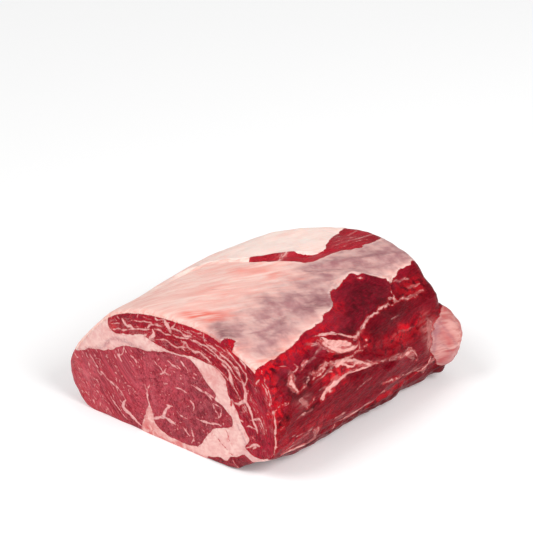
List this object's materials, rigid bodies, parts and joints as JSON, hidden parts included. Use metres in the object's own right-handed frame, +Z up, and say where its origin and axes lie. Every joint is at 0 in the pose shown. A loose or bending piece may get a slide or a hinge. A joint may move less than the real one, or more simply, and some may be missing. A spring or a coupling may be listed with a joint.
{
  "type": "raw boneless ribeye roast",
  "caption": "Raw boneless ribeye roast: a thick block of beef with a marbled cut face, a fat cover on top and a bare lean side.",
  "frame": {"origin": "middle of the footprint, on the surface that the roast rests on", "axes": "+Z up; the near cut face looks towards -Y and the far one towards +Y; the bare lean side looks towards +X and the fat shoulder towards -X"},
  "size_m": [0.2095, 0.228, 0.1055],
  "materials": {
    "eye_lean": "moist cut lean, marbled",
    "cap_lean": "moist cut lean, coarse grain with fat streaks",
    "side_lean": "wet torn lean with seams of fat",
    "dark_lean": "wet dark lean",
    "strip_lean": "wet bright lean with pale threads",
    "kernel_fat": "smooth cut fat",
    "cover_fat": "moist fat with silverskin and peach blotches",
    "ridge_fat": "moist cream fat, finely streaked",
    "end_fat": "moist lumpy fat"
  },
  "bodies": {
    "root": {"eye_muscle": "eye_lean", "cap_muscle": "cap_lean", "side_muscle": "side_lean", "rib_lean": "dark_lean", "strip_muscle": "strip_lean", "kernel_fat": "kernel_fat", "fat_cover": "cover_fat", "fat_ridge": "ridge_fat", "end_fat": "end_fat"}
  },
  "joints": []
}
